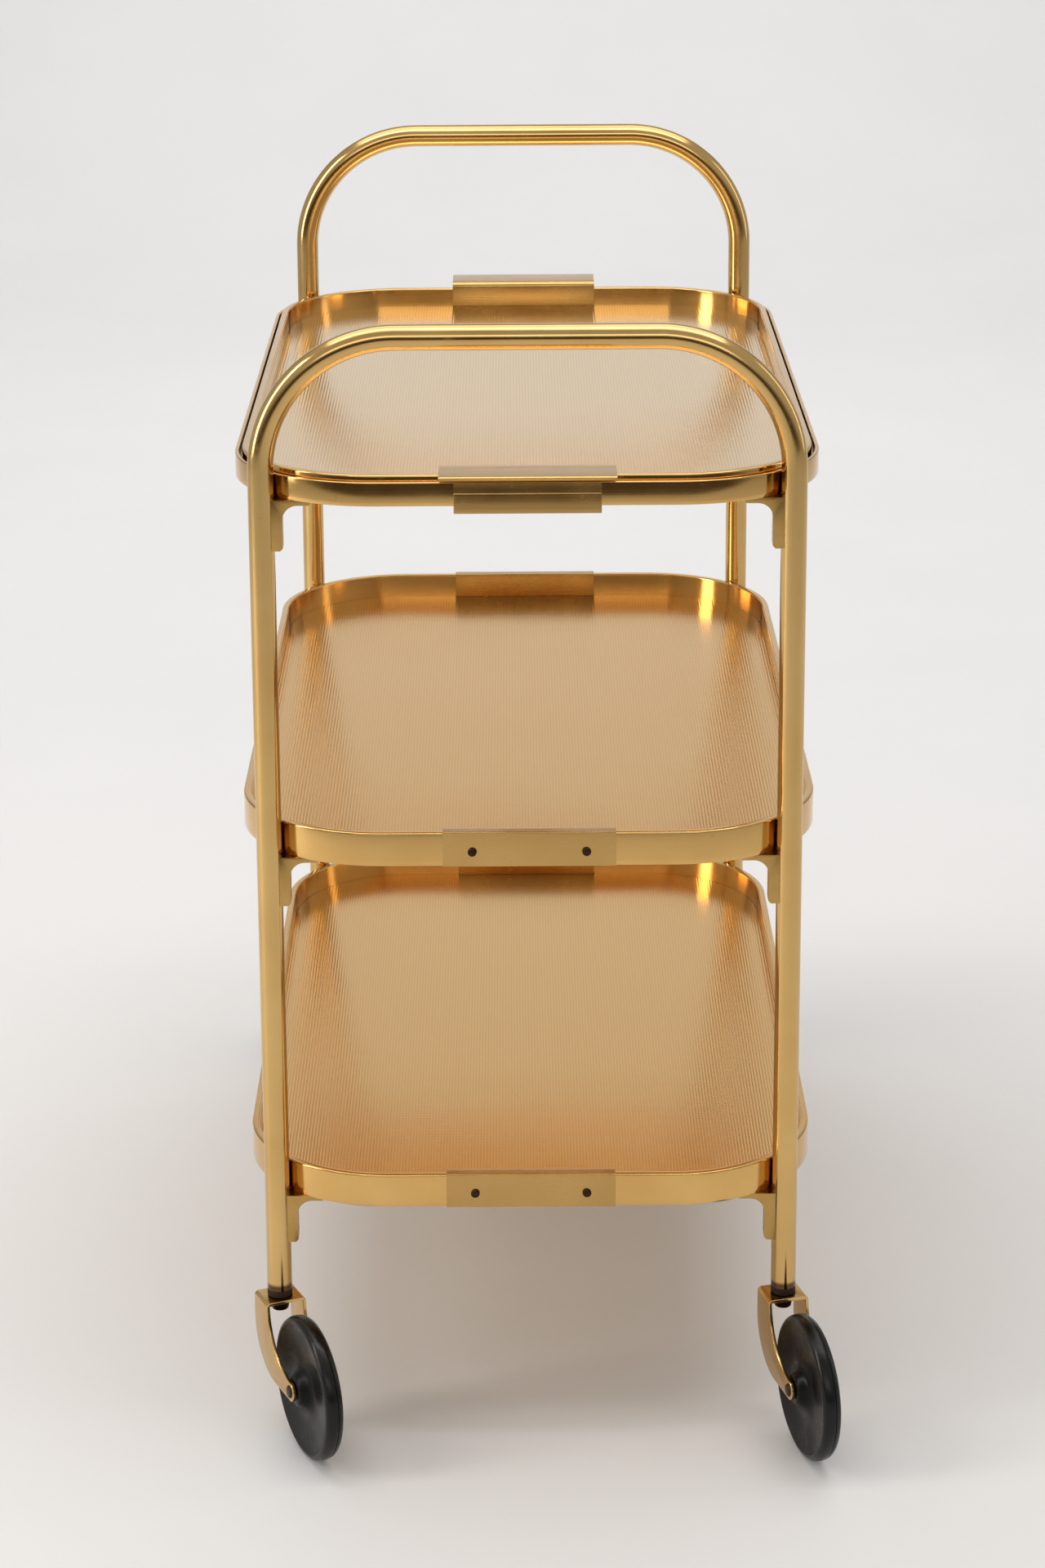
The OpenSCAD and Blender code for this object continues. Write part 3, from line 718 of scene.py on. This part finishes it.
# rings of the dished web, from the rim in to the hub: radius and height over the middle, in mm
DISH = ((48.4, 6.9), (46.5, 6.6), (43, 6.1), (38, 5.3), (33, 4.5), (28, 4.0), (24, 3.8), (21, 4.1),
        (18.5, 4.8), (16.6, 5.9), (15, 7.3), (13.8, 8.8), (12.8, 10.1), (11.8, 11.2), (10.8, 12.0),
        (9.6, 12.4), (8.4, 12.5))


def wheel_centre():
    clear()
    bpy.ops.mesh.primitive_cylinder_add(vertices=112, radius=core_r, depth=2 * half_wheel, location=(0, 0, 0))
    for sign in (-1, 1):
        pick("FACE", lambda c, n: n.z * sign > 0.9)
        radius, height = core_r / MM, half_wheel / MM
        for r, h in DISH:
            bpy.ops.mesh.inset(thickness=(radius - r) * MM, depth=0)
            move(z=sign * (h - height) * MM)
            radius, height = r, h
    tidy()
    piece = bpy.context.object
    smooth(piece, 50)
    return piece


def tyre():
    middle = (core_r + 2.5 * MM, 0, 0)
    piece = sheet_piece(5 * MM, 2 * half_wheel, middle)
    pick("FACE", lambda c, n: True)
    bpy.ops.transform.rotate(value=math.radians(90), orient_axis="X", center_override=middle)
    for z in (-6.3, -5.0, -3.0, -1.2, 1.2, 1.6, 2.0, 2.4, 3.0, 5.0, 6.3):
        pick("FACE", lambda c, n: True)
        bpy.ops.mesh.bisect(plane_co=(0, 0, z * MM), plane_no=(0, 0, 1))
    for z, back in ((7.0, 4.05), (6.3, 2.45), (5.0, 1.15), (3.0, 0.38), (2.4, 0.25), (1.6, 0.12)):
        pick("VERT", lambda c, n: c.x > core_r + 1e-4 and abs(abs(c.z) - z * MM) < 0.1 * MM)
        move(x=-back * MM)
    pick("VERT", lambda c, n: c.x > core_r + 1e-4 and abs(c.z - 2.0 * MM) < 0.1 * MM)
    move(x=-0.75 * MM)
    pick("FACE", lambda c, n: True)
    turn((0, 0, 0), (0, 0, 1), 360, 112)
    tidy(merge=1e-5)
    smooth(piece, 45)
    return piece


centre, ring = wheel_centre(), tyre()
print("tyre", tuple(ring.dimensions), "centre", tuple(centre.dimensions))
joints = {j["name"]: j for j in frame["record"]["behaviour"]["joints"]}
for corner in corners:
    joint = joints[corner + "_roll"]
    axis = Vector(joint["axis"])
    stand = Matrix.Translation(joint["pos_m"]) @ axis.to_track_quat("Z", "Y").to_matrix().to_4x4()
    settle(twin(centre, stand), corner + "_wheel_centre", corner + "_wheel_set", [corner + "_wheel"],
           wheel_plastic)
    settle(twin(ring, stand), corner + "_rubber_tyre", corner + "_wheel_set", [corner + "_tyre"],
           tyre_rubber)
bpy.data.objects.remove(centre)
bpy.data.objects.remove(ring)

# %% [markdown]
# ## Decks
# The decks are flat sheets and keep their CAD shape. Only their finish changes.

# %% Dress the decks
for node, mat in (("tray_deck", deck_top), ("middle_deck", deck_low_with_painted_reflection), ("lower_deck", deck_low_with_painted_reflection)):
    data = frame["nodes"][node].data
    data.materials.clear()
    data.materials.append(mat)
    print("dressed", node)

# %% [markdown]
# ## Studio
# A plain pale floor that curves up into the wall, soft lights, and a dim side behind the camera with
# one window in it. Metal shows its surroundings, so it is the light and dark of the room that gives the
# gold its depth.

# %% Floor, backdrop and lights
clear()
bpy.ops.mesh.primitive_plane_add(size=1, location=(0, 1.0, 0))
bpy.ops.transform.resize(value=(14, 10, 1))
bpy.ops.object.transform_apply(location=True, rotation=True, scale=True)
pick("EDGE", lambda c, d: c.y > 5.9)
push(z=6.0)
pick("EDGE", lambda c, d: c.y > 5.9 and abs(c.z) < 1e-4)
bpy.ops.mesh.bevel(offset=2.2, segments=16, affect="EDGES")
bpy.ops.object.mode_set(mode="OBJECT")
floor = bpy.context.object
smooth(floor, 60)
floor.name = "studio_floor"
paper = blank("pale_studio_paper")
grain = add(paper, "ShaderNodeTexNoise", {"Vector": add(paper, "ShaderNodeTexCoord").outputs["Object"]},
            {"Scale": 3.0, "Detail": 6.0})
tone = add(paper, "ShaderNodeMix", {"Factor": grain.outputs["Fac"]}, data_type="RGBA")
tone.inputs["A"].default_value = shade("#DEDEE0")
tone.inputs["B"].default_value = shade("#E4E4E5")
matt = add(paper, "ShaderNodeBsdfPrincipled", {"Base Color": tone.outputs["Result"]}, {"Roughness": 0.6})
close_up(paper, matt)
floor.data.materials.append(paper)
floor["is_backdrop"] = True


def soft_light(name, place, target, size, power, colour="#FFFFFF"):
    lamp = bpy.data.lights.new(name, "AREA")
    lamp.shape, lamp.size, lamp.size_y, lamp.energy = "RECTANGLE", size[0], size[1], power
    lamp.color = shade(colour)[:3]
    holder = bpy.data.objects.new(name, lamp)
    bpy.context.collection.objects.link(holder)
    holder.location = place
    holder.visible_camera = False
    holder.rotation_euler = (Vector(target) - Vector(place)).to_track_quat("-Z", "Y").to_euler()


soft_light("overhead", (0.0, 0.3, 3.2), (0, 0.2, 0.5), (3.6, 3.0), 47, "#FFFDFA")
soft_light("ceiling_strip", (0.0, -0.4, 3.0), (0, 0, 0.5), (3.0, 0.35), 14, "#FFFDFA")
soft_light("left_window", (-2.6, -0.9, 1.6), (0, 0, 0.55), (0.7, 2.4), 34, "#FFF9F0")
soft_light("right_window", (2.8, 0.2, 1.5), (0, 0, 0.55), (0.5, 2.2), 5, "#FFF9F0")
soft_light("room_window", (0.0, -5.0, 2.6), (0, 0, 0.7), (4.6, 1.2), 24, "#FFFDFA")
soft_light("backdrop_wash", (0.0, 2.6, 3.4), (0, 5.5, 1.2), (4.0, 1.0), 74)

# %% The room that the metal reflects
world = bpy.data.worlds.new("studio_room")
bpy.context.scene.world = world
world.use_nodes = True
tree = world.node_tree
tree.nodes.clear()
direction = tree.nodes.new("ShaderNodeTexCoord")
split = tree.nodes.new("ShaderNodeSeparateXYZ")
tree.links.new(direction.outputs["Generated"], split.inputs["Vector"])
ramp = tree.nodes.new("ShaderNodeMapRange")
ramp.inputs["From Min"].default_value = -0.95
ramp.inputs["From Max"].default_value = -0.15
height = tree.nodes.new("ShaderNodeMath")
height.operation = "MULTIPLY_ADD"
height.inputs[1].default_value = 2.2
tree.links.new(split.outputs["Z"], height.inputs[0])
tree.links.new(split.outputs["Y"], height.inputs[2])
tree.links.new(height.outputs["Value"], ramp.inputs["Value"])
mixer = tree.nodes.new("ShaderNodeMix")
mixer.data_type = "RGBA"
mixer.inputs["A"].default_value = shade("#5C5249")
mixer.inputs["B"].default_value = shade("#EEECE8")
tree.links.new(ramp.outputs["Result"], mixer.inputs["Factor"])
sky = tree.nodes.new("ShaderNodeBackground")
sky.inputs["Strength"].default_value = 0.60
tree.links.new(mixer.outputs["Result"], sky.inputs["Color"])
end = tree.nodes.new("ShaderNodeOutputWorld")
tree.links.new(sky.outputs["Background"], end.inputs["Surface"])
bpy.context.scene.view_settings.view_transform = "Standard"

# %% [markdown]
# ## Camera
# It stands about three metres off, a little above the handle bars, and looks slightly down along the
# shelves. A small shift frames the trolley without tipping the uprights further.

# %% Place the camera
eye = Vector((-0.01057, -2.82603, 1.38462))
yaw, pitch, roll = -0.0044, 0.25536, 0.00712
ahead = Vector((math.sin(yaw) * math.cos(pitch), math.cos(yaw) * math.cos(pitch), -math.sin(pitch)))
right = Vector((math.cos(yaw), -math.sin(yaw), 0))
down = ahead.cross(right)
side = right * math.cos(roll) + down * math.sin(roll)
below = down * math.cos(roll) - right * math.sin(roll)
lens = bpy.data.cameras.new("studio_camera")
wide, tall, sensor = 1280, 1920, 36
focal, axis_x, axis_y = 4387.74, 609.56, 614
lens.lens = focal / tall * sensor
lens.sensor_width = sensor
lens.shift_x = (wide / 2 - axis_x) / tall
lens.shift_y = (axis_y - tall / 2) / tall
lens.clip_start, lens.clip_end = 0.05, 60
camera = bpy.data.objects.new("studio_camera", lens)
bpy.context.collection.objects.link(camera)
camera.matrix_world = Matrix(((side.x, -below.x, -ahead.x, eye.x), (side.y, -below.y, -ahead.y, eye.y),
                              (side.z, -below.z, -ahead.z, eye.z), (0, 0, 0, 1)))
bpy.context.scene.camera = camera
print("camera lens", round(lens.lens, 2), "mm")

# %% Print the box around the visible pieces and finish
low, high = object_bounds()
print("visual box", tuple(low), tuple(high))
